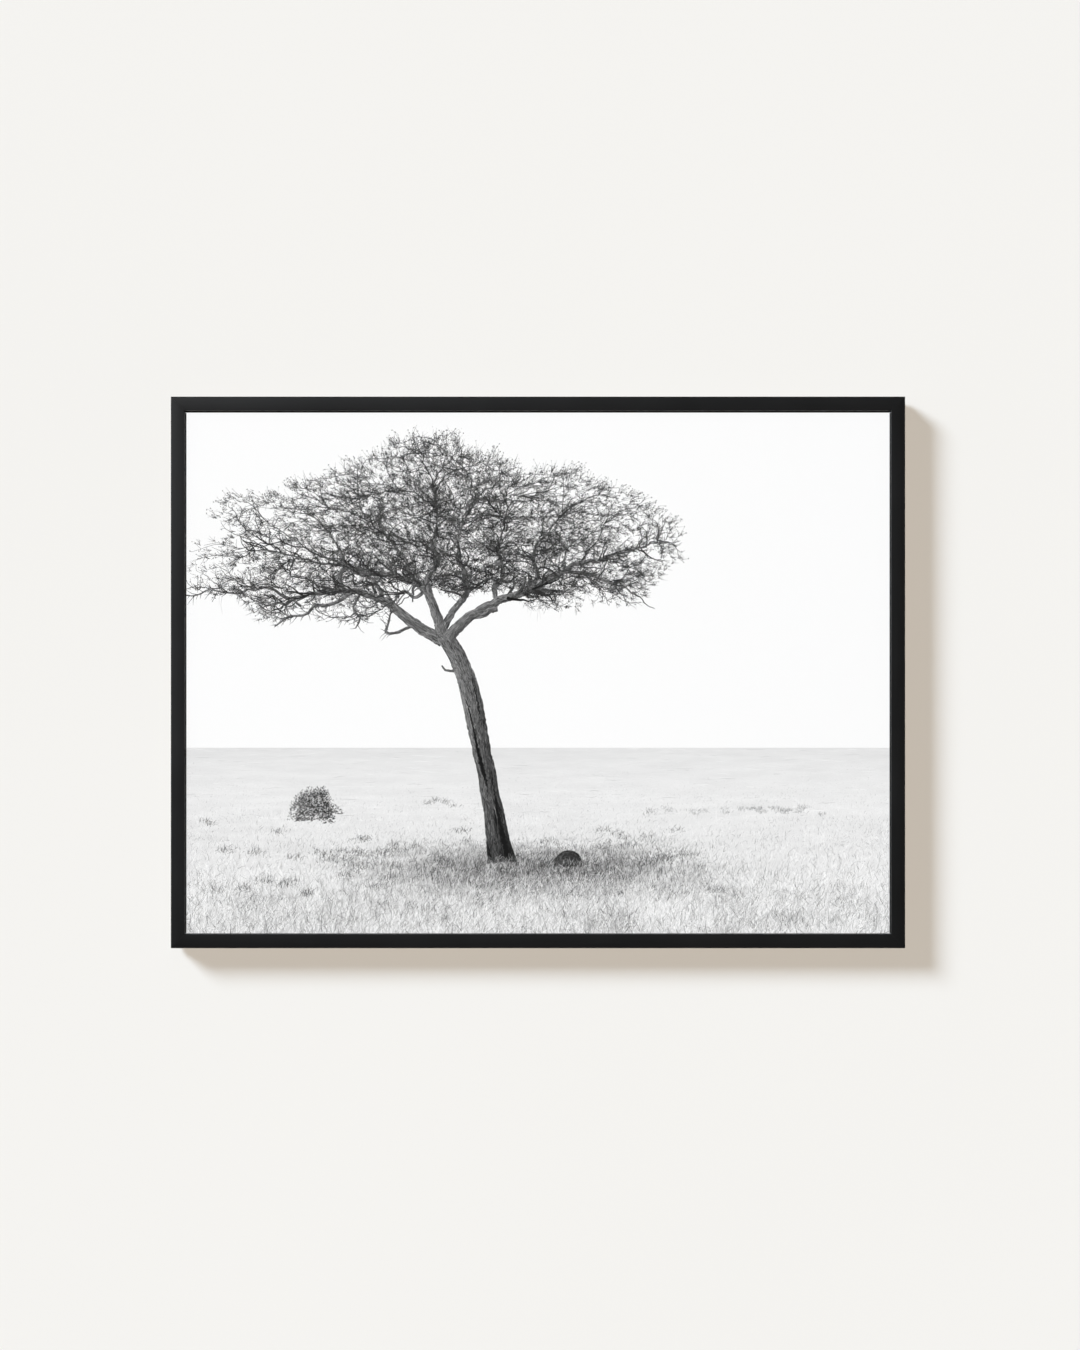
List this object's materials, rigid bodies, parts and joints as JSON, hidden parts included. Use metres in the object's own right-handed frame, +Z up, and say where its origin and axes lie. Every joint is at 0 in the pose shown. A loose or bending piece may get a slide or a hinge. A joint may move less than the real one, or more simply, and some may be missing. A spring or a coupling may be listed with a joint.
{
  "type": "framed picture",
  "caption": "Wall picture: a landscape print behind glass in a thin black mitred wood frame, with tabs, a hardboard back, sawtooth hangers and rubber bumpers behind.",
  "frame": {"origin": "the centre of the backing's flat rear face, which faces the wall that holds the picture", "axes": "+X to the right of a viewer who faces the picture, +Y from the picture into the wall, +Z up"},
  "size_m": [0.623, 0.0253, 0.468],
  "materials": {
    "frame_wood": "satin black paint",
    "glazing": "clear, low reflection",
    "print_paper": "matt photographic paper",
    "grey_card": "plain grey board",
    "hardboard": "smooth brown hardboard",
    "steel": "zinc plated",
    "black_plastic": "matt black",
    "black_rubber": "matt black"
  },
  "bodies": {
    "root": {"rail_top": "frame_wood", "rail_right": "frame_wood", "rail_bottom": "frame_wood", "rail_left": "frame_wood", "glazing": "glazing", "print_sheet": "print_paper", "backing_card": "grey_card", "backing_board": "hardboard", "spacer_top": "black_plastic", "spacer_bottom": "black_plastic", "spacer_left": "black_plastic", "spacer_right": "black_plastic", "tab_top_1": "steel", "tab_top_2": "steel", "tab_top_3": "steel", "tab_top_4": "steel", "tab_bottom_1": "steel", "tab_bottom_2": "steel", "tab_bottom_3": "steel", "tab_bottom_4": "steel", "tab_right_1": "steel", "tab_right_2": "steel", "tab_right_3": "steel", "tab_left_1": "steel", "tab_left_2": "steel", "tab_left_3": "steel", "hanger_left": "steel", "hanger_right": "steel", "rivet_left_a": "steel", "rivet_left_b": "steel", "rivet_right_a": "steel", "rivet_right_b": "steel", "bumper_top_left": "black_rubber", "bumper_top_right": "black_rubber", "bumper_bottom_left": "black_rubber", "bumper_bottom_right": "black_rubber"}
  },
  "joints": []
}
